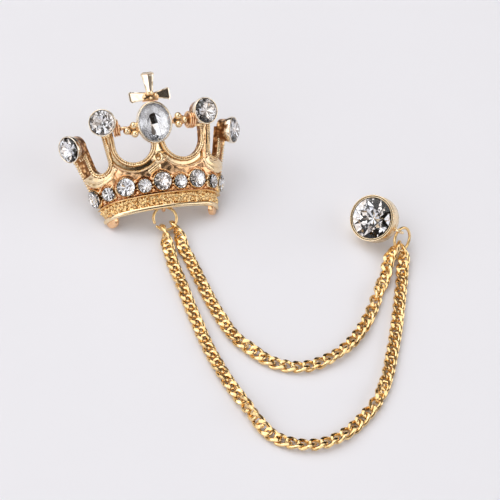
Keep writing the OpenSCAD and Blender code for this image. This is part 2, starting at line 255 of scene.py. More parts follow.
class Val:
    """An output socket of a shader tree that takes part in Python arithmetic."""

    def __init__(self, tree, socket):
        self.tree, self.socket = tree, socket

    def _op(self, operation, first, second):
        return self.tree.node("ShaderNodeMath", {"operation": operation}, {0: first, 1: second})

    def __add__(self, other):
        return self._op("ADD", self, other)

    def __radd__(self, other):
        return self._op("ADD", other, self)

    def __mul__(self, other):
        return self._op("MULTIPLY", self, other)

    def __rmul__(self, other):
        return self._op("MULTIPLY", other, self)

    def ramp(self, low, high, to_low=0.0, to_high=1.0):
        return self.tree.node(
            "ShaderNodeMapRange",
            {"interpolation_type": "SMOOTHSTEP", "clamp": True},
            {"Value": self, "From Min": low, "From Max": high, "To Min": to_low, "To Max": to_high},
        )


class Tree:
    """The node tree of one material or of the world."""

    def __init__(self, owner):
        owner.use_nodes = True
        self.nodes, self.links = owner.node_tree.nodes, owner.node_tree.links
        self.nodes.clear()

    def put(self, socket, value):
        if isinstance(value, Val):
            self.links.new(value.socket, socket)
        else:
            socket.default_value = value

    def node(self, kind, settings=None, inputs=None, out=0):
        """Adds a node, its settings first and then its sockets' values or links, and returns an output."""
        node = self.nodes.new(kind)
        for key, value in (settings or {}).items():
            setattr(node, key, value)
        for key, value in (inputs or {}).items():
            self.put(node.inputs[key], value)
        return Val(self, node.outputs[out]) if node.outputs else None

    def mix(self, share, first, second):
        """Mixes two colours."""
        settings = {"data_type": "RGBA", "clamp_factor": True}
        return self.node("ShaderNodeMix", settings, {0: share, 6: first, 7: second}, out=2)

    def place(self):
        return self.node("ShaderNodeTexCoord", out="Object")

    def noise(self, scale, detail=2.0, roughness=0.5):
        inputs = {"Vector": self.place(), "Scale": scale, "Detail": detail, "Roughness": roughness}
        return self.node("ShaderNodeTexNoise", {}, inputs)

    def pits(self, scale):
        """Distance to the nearest of many scattered spots."""
        inputs = {"Vector": self.place(), "Scale": scale}
        return self.node("ShaderNodeTexVoronoi", {}, inputs, out="Distance")

    def bump(self, strength, depth, height):
        """A normal from a height, with its depth in millimetres."""
        inputs = {"Strength": strength, "Distance": depth * MM, "Height": height}
        return self.node("ShaderNodeBump", {}, inputs)


def colour4(values):
    return (*values, 1.0)


def surface(name, base, metallic, roughness, normal=None, **fixed):
    """The material of a name, made on first use; fixed values go straight on its shader's sockets."""
    if name in bpy.data.materials:
        return bpy.data.materials[name]
    material = bpy.data.materials.new(name)
    tree = Tree(material)
    base, roughness, normal = (make(tree) if callable(make) else make for make in (base, roughness, normal))
    inputs = {"Base Color": base, "Metallic": metallic, "Roughness": roughness}
    if normal is not None:
        inputs["Normal"] = normal
    inputs.update({key.replace("_", " "): value for key, value in fixed.items()})
    shader = tree.node("ShaderNodeBsdfPrincipled", {}, inputs)
    tree.node("ShaderNodeOutputMaterial", {}, {"Surface": shader})
    return material


def hollow_shade_mask(tree):
    """Mask of the painted shade in hollows: 1 on edges and flats, 0 in the depths of the relief."""
    return tree.node("ShaderNodeNewGeometry", out="Pointiness").ramp(0.42, 0.52)


def gold_with_hollow_shade(name, bright, depth, shine, bump, patch=900.0):
    """Plated gold with painted shade, a darker and warmer colour, in its hollows; a little uneven in colour
    and shine, with fine casting marks.
    """

    def base(tree):
        patches = tree.noise(patch, 3).ramp(0.35, 0.7)
        tint = tuple(c * k for c, k in zip(bright, (0.97, 0.9, 0.78)))
        face = tree.mix(patches, colour4(bright), colour4(tint))
        # painted shade: the depth colour where the relief is hollow
        return tree.mix(hollow_shade_mask(tree), colour4(depth), face)

    def roughness(tree):
        return tree.noise(patch * 3, 2) * 0.12 + (shine - 0.06)

    def normal(tree):
        return tree.bump(bump, 0.05, tree.noise(patch * 5, 3, 0.6))

    return surface(name, base, 1.0, roughness, normal)


def metal_settings():
    return bpy.context.scene.brooch_metal


def crown_gold():
    metal = metal_settings()
    return gold_with_hollow_shade("cast_crown_gold", metal.crown_gold, metal.hollow_shade_gold, metal.shine, 0.25)


def nugget_gold():
    metal = metal_settings()
    bright = (metal.crown_gold[0], metal.crown_gold[1] * 0.89, metal.crown_gold[2] * 0.68)
    return gold_with_hollow_shade("granulated_band_gold", bright, metal.hollow_shade_gold, metal.shine + 0.08, 0.5)


def chain_gold():
    metal = metal_settings()
    return gold_with_hollow_shade("curb_chain_gold", metal.chain_gold, metal.hollow_shade_gold, metal.shine - 0.03, 0.1)


def satin_gold():
    metal = metal_settings()
    pale = (metal.crown_gold[0] * 1.02, metal.crown_gold[1] * 1.05, metal.crown_gold[2] * 1.12)
    return gold_with_hollow_shade("stud_cup_gold", pale, metal.hollow_shade_gold, metal.shine + 0.1, 0.25)


def pale_gold():
    """The whiter gold of the cross and of the lips round the stones."""
    return gold_with_hollow_shade("pale_lip_gold", (0.97, 0.89, 0.77), (0.5, 0.3, 0.16), metal_settings().shine, 0.15)


def groove_shade_gold():
    """Painted shade: a dark colour on the groove of the stud's double lip and on the wall between the lip and
    the stone.
    """
    return gold_with_hollow_shade("stud_groove_painted_shade", (0.36, 0.25, 0.13), (0.12, 0.07, 0.03), 0.3, 0.2)


def slope_gold():
    """The warmer, duller gold of the slope above the row of stones."""
    return gold_with_hollow_shade("warm_slope_gold", (0.95, 0.62, 0.37), (0.42, 0.17, 0.07), 0.22, 0.3, 700.0)


def pitted_gold_with_painted_shade():
    """Duller, pitted gold whose dark orange-brown colour is painted shade, on the sides of the round
    settings, in the outer posts' hollows, on the openings' edges and on the discs' faces.
    """
    pit_scale = 1100.0

    def base(tree):
        # painted shade: a dark orange-brown colour mottled over the pits
        return tree.mix(tree.pits(pit_scale).ramp(0.15, 0.6), (0.93, 0.56, 0.27, 1), (0.26, 0.11, 0.04, 1))

    def normal(tree):
        return tree.bump(0.8, 0.12, tree.pits(pit_scale))

    return surface("pitted_gold_with_painted_shade", base, 1.0, 0.28, normal)


def crystal():
    """Clear cut glass."""

    def normal(tree):
        return tree.bump(0.02, 0.05, tree.noise(260.0, 1))

    clear = (0.96, 0.965, 0.98, 1.0)
    return surface("clear_cut_glass", clear, 0.0, 0.0, normal, Transmission_Weight=1.0, IOR=1.6)


def foil():
    """The mirror backing of a stone."""

    def base(tree):
        return tree.mix(tree.noise(420.0, 2).ramp(0.42, 0.6), (0.93, 0.94, 0.97, 1), (0.86, 0.8, 0.75, 1))

    def roughness(tree):
        return tree.noise(900.0, 2) * 0.06

    return surface("stone_foil", base, 1.0, roughness)


def pearl_foil():
    """The softer, paler backing of the oval stone."""

    def base(tree):
        return tree.mix(tree.noise(300.0, 2).ramp(0.35, 0.7), (0.96, 0.965, 0.985, 1), (0.85, 0.86, 0.9, 1))

    def roughness(tree):
        return tree.noise(700.0, 2) * 0.2 + 0.16

    return surface("oval_stone_foil", base, 1.0, roughness)


# Meshes


def carried(points, matrix):
    """Points with a matrix applied, if there is one."""
    if matrix is None:
        return points
    rows = np.array(matrix)
    return points @ rows[:3, :3].T + rows[:3, 3]


def add_piece(name, points, faces, materials, slot, crease, matrix=None, nodes=(), face_slots=None):
    """Makes a mesh piece from points in millimetres; its edges over the crease angle stay sharp."""
    points = carried(np.asarray(points, float).reshape(-1, 3), matrix)
    mesh = bpy.data.meshes.new(name)
    mesh.from_pydata((points * MM).tolist(), [], [list(map(int, face)) for face in faces])
    for material in materials:
        mesh.materials.append(material)
    if face_slots is not None:
        mesh.polygons.foreach_set("material_index", np.asarray(face_slots, np.int32))
    mesh.validate()
    shape = bmesh.new()
    shape.from_mesh(mesh)
    bmesh.ops.recalc_face_normals(shape, faces=shape.faces)
    limit = math.radians(crease)
    for face in shape.faces:
        face.smooth = crease > 0
    for edge in shape.edges:
        if len(edge.link_faces) == 2:
            edge.smooth = edge.calc_face_angle(0.0) < limit
    shape.to_mesh(mesh)
    shape.free()
    piece = bpy.data.objects.new(name, mesh)
    bpy.context.scene.collection.objects.link(piece)
    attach(piece, "root")
    if nodes:
        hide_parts(*nodes)


class Build:
    """Points, faces and face materials of several shapes that become one piece."""

    def __init__(self):
        self.points, self.faces, self.slots = [], [], []

    def add(self, points, faces, matrix=None, slot=0):
        points = carried(np.asarray(points, float).reshape(-1, 3), matrix)
        start = sum(len(p) for p in self.points)
        self.points.append(points)
        self.faces += [[i + start for i in face] for face in faces]
        self.slots += slot if isinstance(slot, list) else [slot] * len(faces)

    def piece(self, name, materials, slot, crease, nodes=()):
        points = np.vstack(self.points)
        add_piece(name, points, self.faces, materials, slot, crease, None, nodes, self.slots)


def grid_faces(rows, columns, wrap_rows=False, wrap_columns=False):
    faces = []
    for i in range(rows if wrap_rows else rows - 1):
        for j in range(columns if wrap_columns else columns - 1):
            k, n = (i + 1) % rows, (j + 1) % columns
            faces.append([i * columns + j, i * columns + n, k * columns + n, k * columns + j])
    return faces


def bow(x, y, half_x, half_y, first=0.0, last=math.pi, count=9):
    """Points of a profile along part of an ellipse."""
    return [(x + half_x * math.cos(t), y + half_y * math.sin(t)) for t in np.linspace(first, last, count)]


def lathe(profile, segments):
    """Turns a profile of (radius, height) round local Z."""
    profile = np.asarray(profile, float)
    a = np.linspace(0, 2 * math.pi, segments, endpoint=False)
    r = profile[:, 0][:, None] * np.ones_like(a)
    points = np.stack([r * np.cos(a), r * np.sin(a), profile[:, 1][:, None] + 0 * r], -1)
    return points.reshape(-1, 3), grid_faces(len(profile), segments, wrap_columns=True)


def ball(radius, rows, columns):
    a = np.linspace(0, math.pi, rows)
    return lathe(np.stack([radius * np.sin(a), -radius * np.cos(a)], -1), columns)


def swept_wire(path, radius, sides, closed=True, flat=None):
    """A round wire along a closed or open path, with its top and bottom cut at a flat's height."""
    path = np.asarray(path, float)
    ahead = np.roll(path, -1, 0) - np.roll(path, 1, 0) if closed else np.gradient(path, axis=0)
    ahead /= np.linalg.norm(ahead, axis=1)[:, None]
    side = np.cross(ahead, [0, 0, 1.0])
    weak = np.linalg.norm(side, axis=1) < 1e-6
    side[weak] = [1, 0, 0]
    side /= np.linalg.norm(side, axis=1)[:, None]
    up = np.cross(side, ahead)
    k = 2 * math.pi * np.arange(sides) / sides
    radius = np.broadcast_to(np.asarray(radius, float), (len(path),))[:, None, None]
    off = np.cos(k)[None, :, None] * side[:, None] + np.sin(k)[None, :, None] * up[:, None]
    rings = path[:, None] + radius * off
    if flat is not None:
        rings[:, :, 2] = np.clip(rings[:, :, 2], -flat, flat)
    return rings.reshape(-1, 3), grid_faces(len(path), sides, wrap_rows=closed, wrap_columns=True)


# The cast crown


def opening_distance(points, turn, low, r, splay):
    """Signed distance from points of the wall to the edge of one opening, and the way along that edge."""
    flat = carried(points, wall_matrix(turn, low + r).inverted())
    x, y = np.abs(flat[..., 0]), flat[..., 1]
    along = np.where(y < 0, r * np.arctan2(x, -y), r * math.pi / 2 + y) * np.sign(flat[..., 0])
    round_part = np.hypot(x, np.minimum(y, 0)) - r
    lean = splay / OPENING_RUN
    straight = (x - r - np.maximum(y, 0) * lean) / math.hypot(1, lean)
    return np.where(y < 0, round_part, straight), along


def cell_noise(points, size, seed=3):
    """Distance to the nearest of a set of seeds scattered one to a cell, in units of the cell."""
    q = points / size
    base = np.floor(q).astype(np.int64)
    best = np.full(q.shape[:-1], 9.0)
    for shift in product((-1, 0, 1), repeat=3):
        cell = base + shift
        mixed = (cell[..., 0] * 73856093) ^ (cell[..., 1] * 19349663) ^ (cell[..., 2] * 83492791) ^ seed
        spot = cell + np.stack([((mixed * k) % 1009) / 1009.0 for k in (7, 31, 101)], -1)
        best = np.minimum(best, np.linalg.norm(q - spot, axis=-1))
    return best


def ridge(x, middle, half):
    """A round ridge: 1 on its middle line and 0 from its half width out."""
    return np.sqrt(np.clip(1 - ((x - middle) / half) ** 2, 0, 1))


def step(x, low, high):
    t = np.clip((x - low) / (high - low), 0, 1)
    return t * t * (3 - 2 * t)


# Looks of the wall, in the order of its materials.
POLISHED, NUGGETS, PITTED_AND_SHADED, WARM = range(4)
# Lower edge of the flutes that sweep out from the inner posts: turns, and the rise at each.
SWAG_LOW = (16.5, 18, 20, 25, 35, 50, 60, 70, 78), (11.3, 10.6, 10.0, 9.0, 8.4, 8.2, 8.6, 10.2, 12.0)


def wall_relief(turn, rise, spots, wide, side, run):
    """Height of the crown's front face off the middle of its wall, and the finish of each spot."""
    relief = bpy.context.scene.brooch_relief
    near = np.minimum(wide, side)
    x, far = spots[..., 0], np.abs(turn)
    across = np.abs(x)
    height = np.full(turn.shape, 0.34)
    finish = np.full(turn.shape, POLISHED)

    # the wavy ridge that follows the scallops, its bright rim and the warm slope down to the settings
    under = np.where(far > FRONT_TURN, 3.0, wide)
    slope = 1.0 - 0.32 * step(under, 2.3, 4.4)
    height = height + (slope - height) * step(under, 2.0, 2.15)
    height += 0.2 * ridge(under, 2.2, 0.17)
    height += 0.24 * np.clip(0.8 - cell_noise(spots, 1.7, 5), 0, 1) * step(under, 2.4, 2.8)
    finish[(under > 2.42) & (rise > BAND_H)] = WARM

    # the inner posts: lengthwise flutes that sweep out under the side openings
    past = far - RIGHT_POST_TURN * (turn > 0)
    low = np.interp(past, *SWAG_LOW)
    edge = 10.85 + RIGHT_POST_SHIFT * (x > 0) + 0.14 * np.maximum(rise - 13, 0)
    gap = (rise - low) + (np.minimum(across - edge, wide - ROPE_W) - (rise - low)) * step(rise, 10.8, 12.2)
    swag = (past > 16.5) & (gap > 0) & ((across > edge) | (rise < 11.5))
    q = np.clip(side / np.maximum(side + gap, 0.01), 0, 1)
    flutes = 0.72 + 0.5 * q**0.8 + 0.12 * np.abs(np.sin(3 * math.pi * q)) - 0.3 * (1 - step(gap, 0, 0.25))
    height = np.where(swag, flutes, height)
    finish[swag] = POLISHED

    # three slanting ribs where the two large scallops meet, with a pitted spot above them
    v = -0.857 * (x + 0.36) - 0.515 * (rise - 10.56)
    u = -0.515 * (x + 0.36) + 0.857 * (rise - 10.56)
    ribs = (v > -0.3) & (v < 3.2) & (np.abs(u) < 0.7) & (wide > ROPE_W)
    taper = step(v, -0.3, 0.5) * (1 - step(v, 2.4, 3.2)) * (1 - step(np.abs(u), 0.55, 0.7))
    lines = 0.66 + 0.5 * np.sqrt(np.abs(np.sin(math.pi * u / 0.46)))
    height = np.where(ribs, height + (lines - height) * taper, height)
    finish[ribs] = POLISHED
    stem = (1 - step(across, 0.6, 1.4 + 1.1 * step(rise, 11.2, 12.6))) * step(rise, 10.6, 11.8)
    fork = np.clip(1.35 - 0.36 * (rise - 11.3), 0.5, 1.3) - 0.3 * x * step(rise, 12.8, 14)
    height = height + (fork - height) * stem
    finish[stem > 0.3] = POLISHED
    knot = np.hypot((x + 0.18) / 0.7, (rise - 12.4) / 1.0)
    height -= 0.6 * (1 - step(knot, 0.8, 1.05)) * step(cell_noise(spots, 0.55, 11), 0.25, 0.5)

    # the outer posts: a pitted hollow between raised borders, its dark colour painted shade
    channel = (far > 49) & (far < 74.5) & (rise > 12.0) & (near > ROPE_W)
    lumps = cell_noise(spots, 0.9, 11)
    dish = 0.05 + 0.6 * np.clip(np.abs(far - 62.5) / 12, 0, 1.1) ** 2 + 0.5 * (1 - step(rise, 12.0, 13.2))
    height = np.where(channel, dish + 0.3 * np.clip(0.8 - lumps, 0, 1), height)
    finish[channel] = PITTED_AND_SHADED
    border = ridge(far, 76.0, 2.2) * step(rise, 8.6, 9.6)
    height = np.where(border > 0, np.maximum(height, 0.5 + 0.62 * border), height)
    finish[border > 0] = POLISHED

    # the doubled rope round each opening, its strands twisted
    bead = relief.bead / MM
    lay = np.sin(2 * math.pi * (run / bead + near * 1.2)), np.sin(2 * math.pi * (run / bead - near * 1.2))
    inner = (0.6 + 0.1 * lay[0]) * ridge(near, 0.22, 0.26)
    outer = (0.68 + 0.08 * lay[1]) * ridge(near, 0.72, 0.27)
    rope = 0.48 + np.maximum(inner, outer)
    height = np.where(near < ROPE_W + 0.06, rope, height)
    finish[near < ROPE_W + 0.06] = POLISHED

    # a flat seat behind the oval setting
    height = np.where(np.hypot(x / 4.1, (rise - OVAL_RISE) / 4.8) < 1, np.minimum(height, 0.3), height)

    # the settings of the row, each a thin rim round a deep seat, with small grains between
    seats = []
    for place, up, r in ROW:
        flat = carried(spots, wall_matrix(place, up).inverted())
        seats.append((np.hypot(flat[..., 0], flat[..., 1]), r))
    for away, r in seats:
        rim = ridge(away, r + 0.12, 0.17)
        height = np.where((away < r + 0.7) & (rise > BAND_H + 0.1), np.minimum(height, 0.5), height)
        height = np.where(rim > 0, np.maximum(height, 0.5 + 0.92 * rim), height)
        finish[away < r + 0.4] = POLISHED
    for (t0, s0, r0), (t1, s1, r1) in zip(ROW, ROW[1:]):
        share = (r0 + 0.35) / (r0 + r1 + 0.7)
        for lift, size in ((-1.55, 0.42), (-0.75, 0.26), (0.1, 0.22), (1.2, 0.42)):
            spot = wall_points(t0 + (t1 - t0) * share, (s0 + s1) / 2 + lift, 0.8)
            away = np.linalg.norm(spots - spot, axis=-1)
            height = np.where(away < size, np.maximum(height, 0.85 + 0.5 * ridge(away, 0, size)), height)
    for away, r in seats:
        height = np.where(away < r - 0.02, -0.38, height)

    # the lower band: nuggets between a rounded rim and a fine line
    size = relief.nugget / MM
    grains = cell_noise(spots, size)
    fine = cell_noise(spots, size * 0.5, 29)
    field = 1.12 - relief.nugget_depth / MM * step(grains, 0.3, 0.72) - 0.16 * step(fine, 0.35, 0.8)
    ticks = 0.08 * np.sin(2 * math.pi * np.radians(turn) * (arc_of(turn)[0] + 1.5) / 0.62)
    field = np.where(rise < 1.5, field + ticks, field)
    height = np.where(rise < BAND_H, field, height)
    height = np.where(np.abs(rise - 3.68) < 0.24, 0.7 + 0.7 * ridge(rise, 3.68, 0.24), height)
    height = np.where((rise > 3.92) & (rise < 4.15), 0.4, height)
    height = np.where(rise < 1.1, 0.7 + 0.7 * ridge(rise, 0.5, 0.68), height)

    # small beads along the end edges
    edge = END_TURN - np.abs(turn)
    pearls = (edge < 4.6) & (rise > 4.2) & (rise < 16.5)
    pearl = np.abs(np.sin(math.pi * rise / (bead * 1.35)))
    height = np.where(pearls, 0.45 + (0.3 + 0.5 * pearl) * ridge(edge, 2.2, 2.6), height)
    finish[pearls] = POLISHED
    finish[(rise < BAND_H - 0.35) & (rise > 1.05)] = NUGGETS
    return height, finish


def crown_wall():
    """The pierced wall as one closed sheet: a relief in front, a plain back, and edges all round."""
    cell = bpy.context.scene.brooch_relief.cell / MM
    front_n = int(2 * math.radians(FRONT_TURN) * 33.5 / cell)
    end_n = int(math.radians(END_TURN - FRONT_TURN) * 8.4 / cell)
    end = np.linspace(FRONT_TURN, END_TURN, end_n + 1)
    turns = np.concatenate([-end[::-1], np.linspace(-FRONT_TURN, FRONT_TURN, front_n + 1)[1:-1], end])
    rises = np.linspace(0, POST_TOP, int(POST_TOP / cell) + 1)
    turn, rise = np.meshgrid(turns, rises, indexing="ij")

    def distances(turn, rise):
        spots = wall_points(turn, rise, 0.8)
        found = []
        for pair in (WIDE_OPENINGS, SIDE_OPENINGS):
            (left, left_run), (right, right_run) = (opening_distance(spots, *shape) for shape in pair)
            found.append((np.minimum(left, right), np.where(left < right, left_run, right_run)))
        (wide, wide_run), (side, side_run) = found
        return spots, wide, side, np.where(wide < side, wide_run, side_run)

    # draw the cells' corners on to the edge of the openings
    per_degree = np.radians(arc_of(turn)[0] + rise * math.sin(FLARE))
    for _ in range(3):
        _, wide, side, _ = distances(turn, rise)
        d = np.minimum(wide, side)
        _, wide_t, side_t, _ = distances(turn + 0.02, rise)
        _, wide_r, side_r, _ = distances(turn, rise + 0.02)
        slope_t = (np.minimum(wide_t, side_t) - d) / (0.02 * per_degree)
        slope_r = (np.minimum(wide_r, side_r) - d) / 0.02
        size = np.maximum(slope_t**2 + slope_r**2, 0.2)
        close = np.abs(d) < 0.62 * cell
        turn = np.where(close, turn - d * slope_t / size / per_degree, turn)
        rise = np.where(close, np.clip(rise - d * slope_r / size, 0, POST_TOP), rise)
    spots, wide, side, run = distances(turn, rise)
    near = np.minimum(wide, side)
    height, finish = wall_relief(turn, rise, spots, wide, side, run)
    finish = finish.reshape(-1)
    columns = len(rises)
    solid = near > -0.3 * cell
    quads = []
    for i in range(len(turns) - 1):
        keep = solid[i, :-1] & solid[i, 1:] & solid[i + 1, :-1] & solid[i + 1, 1:]
        for j in np.nonzero(keep)[0]:
            a = i * columns + int(j)
            quads.append((a, a + columns, a + columns + 1, a + 1))
    front = wall_points(turn, rise, height).reshape(-1, 3)
    back = wall_points(turn, rise, np.full(turn.shape, -WALL_HALF)).reshape(-1, 3)
    total = len(front)
    edges = {}
    for quad in quads:
        for k in range(4):
            a, b = quad[k], quad[(k + 1) % 4]
            edges[(a, b)] = edges.get((a, b), 0) + 1
    faces = list(quads) + [tuple(i + total for i in reversed(quad)) for quad in quads]
    for a, b in edges:
        if (b, a) not in edges:
            faces.append((b, a, a + total, b + total))
    points = np.vstack([front, back])
    used = np.unique(np.concatenate([np.asarray(face) for face in faces]))
    index = np.full(len(points), -1)
    index[used] = np.arange(len(used))
    slots = [int(finish[face[0]]) for face in quads] + [POLISHED] * len(quads)
    # the edge faces round the openings take the pitted gold's dark colour: painted shade
    slots += [PITTED_AND_SHADED if near.reshape(-1)[face[0]] < 1 else POLISHED for face in faces[len(slots):]]
    return points[used], [[index[i] for i in face] for face in faces], slots


def cup_profile(body_r, lip_r, depth, lip_h, seat_r, seat_depth):
    """A round setting from its back up its side, over its rounded lip and down to its seat."""
    mid = (lip_r + seat_r) / 2
    half = (lip_r - seat_r) / 2
    return [
        (0.02, 0),
        (body_r - 0.25, 0),
        (body_r - 0.06, 0.08),
        (body_r, 0.3),
        (body_r, depth - lip_h - 0.12),
        (body_r + 0.1, depth - lip_h),
        (lip_r - 0.05, depth - lip_h + 0.12),
        (lip_r, depth - lip_h + 0.3),
        *bow(mid, depth - half, half, half),
        (seat_r - 0.02, depth - seat_depth),
        (seat_r * 0.5, depth - seat_depth - 0.5),
        (0.02, depth - seat_depth - 0.7),
    ]


class BROOCH_OT_crown(Operator):
    """Make the cast crown: wall, settings, cross, trefoils, feet and eye"""

    bl_idname = "brooch.crown"
    bl_label = "Crown"
    bl_options = {"REGISTER", "UNDO"}

    def execute(self, context):
        gold, nuggets = crown_gold(), nugget_gold()
        points, faces, slots = crown_wall()
        looks = [gold, nuggets, pitted_gold_with_painted_shade(), slope_gold()]
        add_piece("crown_wall", points, faces, looks, "gold", 60, crown_matrix(), ["crown"], slots)
        self.settings(gold)
        self.cross(gold)
        self.trefoils(gold)
        self.feet(slope_gold())
        return {"FINISHED"}

    def settings(self, gold):
        """The four round settings on the posts and the oval one on the stem."""
        build = Build()
        around = 72
        for turn, rise in FINIALS:
            place = on_crown(turn, rise, FINIAL_FRONT)
            points, faces = lathe(cup_profile(2.75, 3.25, 3.7, 1.2, 2.97, 1.5), around)
            rows = [i // around for i in range(len(faces))]
            # the side is pitted with a dark colour of painted shade, and the lip pale
            looks = [1 if 2 <= row <= 5 else 2 if 6 <= row <= 16 else 0 for row in rows]
            build.add(points, faces, place, looks)
            moved = turn == INNER_TURN
            drift = 0.22 * moved
            build.add(*slab(MOVED_FOOT if moved else FINIAL_FOOT, -0.9, 0.45, 0.16), place)
            for k in (-0.6, 0, 0.6):
                rod = [(k * (1 + 0.12 * t), -3.4 + 1.1 * t, 0.35 + 0.06 * t) for t in np.linspace(0, 3, 7)]
                rod = [(x - drift * y, y, z) for x, y, z in rod]
                build.add(*swept_wire(rod, 0.3, 10, closed=False), place)
        build.piece("round_settings", [gold, pitted_gold_with_painted_shade(), pale_gold()], "gold", 50)

        build = Build()
        a, lip = OVAL_HALF_W, OVAL_LIP
        profile = [(0.02, -0.6), (a + 0.2, -0.6), (a + lip - 0.1, -0.3), (a + lip, 0.2), (a + lip, 1.4)]
        profile += bow(a + 0.2, 1.5, 0.2, 0.2)
        profile += [(a - 0.04, 0.9), (a * 0.5, -0.2), (0.02, -0.4)]
        points, faces = lathe(profile, 96)
        points[:, 1] *= (OVAL_HALF_H + lip) / (a + lip)
        build.add(points, faces, on_crown(0, OVAL_RISE))
        build.piece("oval_setting", [pale_gold()], "gold", 50)

    def cross(self, gold):
        build = Build()
        place = on_crown(0, HUB_RISE, -0.4)
        plate = [(-1.9, -1.25), (1.8, -1.25), (2.05, -0.2), (1.5, 0.75), (-1.3, 0.8), (-2.0, -0.1)]
        build.add(*slab(plate, 0.05, 1.32, 0.3), place, 1)
        # turn, then the length, base, tip, lean, fold and dip of each arm
        for angle, *shape in (
            (0, 5.7, 0.75, 1.72, 0.0, 0.3, 0.0),
            (88, 5.1, 0.95, 1.5, -0.5, 0.0, 0.12),
            (-88, 4.9, 0.6, 1.6, 0.0, 0.0, 0.0),
        ):
            build.add(*cross_arm(*shape), place @ Matrix.Rotation(math.radians(angle), 4, "Z"))
        grains = (-0.55, 0.55, 0.46), (0.35, 0.6, 0.5), (1.35, 0.05, 0.42), (-1.5, -0.1, 0.36), (0, -0.6, 0.4)
        for x, y, r in grains:
            build.add(*ball(r, 9, 14), place @ Matrix.Translation((x, y, 1.42)), 2)
        build.piece("hub_cross", [pale_gold(), slope_gold(), gold], "gold", 40)

    def trefoils(self, gold):
        """Three balls on a small plate on each side of the oval setting, and a ridged disc."""
        build = Build()
        for side, shift, lift in ((-1, -0.75, -0.9), (1, 0.4, 0.2)):
            for x, rise in ((5.75, 21.35), (5.65, 19.35), (7.45, 20.25)):
                x += shift
                place = on_crown(0, rise + lift, 0.75) @ Matrix.Translation((side * x, 0, -0.0145 * x * x))
                build.add(*ball(0.9, 14, 22), place)
            a = np.linspace(0, 2 * math.pi, 24, endpoint=False)
            plate = np.stack([1.75 * np.cos(a) + side * (6.05 + shift), 1.2 * np.sin(a) + 0.05 + lift], -1)
            build.add(*slab(plate, 0.0, 0.55, 0.15), on_crown(0, 20.3, -0.3), 1)
            place = on_crown(side * 10.5, 20.3, 0)
            along = np.linspace(-3.2, 3.2, 15)
            bar = [(side * x, 0.1 * math.sin(x * 2.1), 0.1 + 0.05 * math.cos(x * 1.7)) for x in along]
            build.add(*swept_wire(bar, 0.42, 10, closed=False), place, 1)
            disc = on_crown(side * 14.2, 20.7, 0.75) @ Matrix.Rotation(side * math.pi / 2, 4, "Y")
            profile = [(0.02, -1.15), (0.6, -1.1), (0.75, -0.85), (1.6, -0.8)]
            for k in range(3):
                profile += bow(1.7, -0.55 + 0.55 * k, 0.38, -0.25, 1.5, -1.5)
            profile += [(1.6, 0.8), (0.75, 0.85), (0.6, 1.1), (0.02, 1.15)]
            points, faces = lathe(profile, 40)
            # warm ridges between two pitted faces that are darkened with painted shade
            rows = [i // 40 for i in range(len(faces))]
            build.add(points, faces, disc, [2 if row < 3 or row > len(profile) - 5 else 1 for row in rows])
        build.piece("trefoils", [gold, slope_gold(), pitted_gold_with_painted_shade()], "gold", 45)

    def feet(self, gold):
        build = Build()
        profile = [(0.02, 0.02), (1.45, 0.02), (1.68, 0.12), (1.74, 0.35)]
        profile += [(1.74, 1.0), (1.62, 1.28), (1.3, 1.39), (0.02, 1.4)]
        for side in (-1, 1):
            build.add(*lathe(profile, 40), on_crown(side * 62, 0, -WALL_HALF))
        eye = crown_matrix() @ Matrix.Translation((0, 1.95, 1.1)) @ Matrix.Rotation(math.pi / 2, 4, "Y")
        points, _ = lathe(bow(0.93, 0, 0.27, 0.36, 0, 2 * math.pi, 15)[:-1], 36)
        build.add(points, grid_faces(14, 36, wrap_rows=True, wrap_columns=True), eye)
        neck = [(0, y, 1.1) for y in np.linspace(0.1, 0.95, 5)]
        build.add(*swept_wire(neck, 0.4, 12, closed=False), crown_matrix())
        build.piece("feet_and_eye", [gold], "gold", 45)


def slab(outline, low, high, soft):
    """A flat plate with softened top edges over an outline that runs counter-clockwise."""
    outline = np.asarray(outline, float)
    middle = outline.mean(0)
    rings = [(outline, low), (outline, high - soft)]
    reach = np.linalg.norm(outline - middle, axis=1)[:, None]
    for t in (30, 60, 90):
        inset = soft * (1 - math.cos(math.radians(t)))
        ring = middle + (outline - middle) * (1 - inset / reach)
        rings.append((ring, high - soft + soft * math.sin(math.radians(t))))
    points = np.vstack([np.column_stack([ring, np.full(len(ring), z)]) for ring, z in rings])
    n = len(outline)
    faces = grid_faces(len(rings), n, wrap_columns=True)
    faces += [list(range(n))[::-1], [len(points) - n + i for i in range(n)]]
    return points, faces


def cross_arm(length, base, tip, lean, fold, dip):
    """One flared arm with a raised rim round a dished face that leans across or folds in the middle."""
    corner = 0.8
    rows = [(y, base + (tip - base) * (y / length) ** 1.25) for y in np.linspace(0, length - corner, 18)]
    for t in np.radians((15, 30, 45, 60, 75, 86)):
        rows.append((length - corner * (1 - math.sin(t)), tip - corner * (1 - math.cos(t))))
    across = np.linspace(-1, 1, 25)
    top, bottom = [], []
    for y, half in rows:
        for k in across:
            edge = min((1 - abs(k)) * half, length - y)
            rim = 0.16 * (1 - step(edge, 0.18, 0.3)) - 0.26 * (1 - min(1, edge / 0.14)) ** 2
            face = 1.08 + lean * k * half - fold * (1 - abs(k - 0.15)) * half - dip * y
            top.append((k * half, y, face + rim))
            bottom.append((k * half * 0.84, min(y, length - 0.3), 0.02))
    n = len(across)
    points = np.array(top + bottom)
    m = len(top)
    faces = grid_faces(len(rows), n)
    faces += [[i + m for i in reversed(face)] for face in grid_faces(len(rows), n)]
    last = (len(rows) - 1) * n
    rim = list(range(n)) + [i * n + n - 1 for i in range(1, len(rows))]
    rim += [last + j for j in range(n - 2, -1, -1)] + [i * n for i in range(len(rows) - 2, 0, -1)]
    faces += [[a, b, b + m, a + m] for a, b in zip(rim, rim[1:] + rim[:1])]
    return points, faces


# Cut stones

# Looks of a stone's facets, in the order of its materials.
GLASS, MIRROR, PEARLY = range(3)
# The fold of the oval stone's back that keeps the mirror foil, where the other folds get the softer one.
OVAL_MIRROR_FOLD = 7


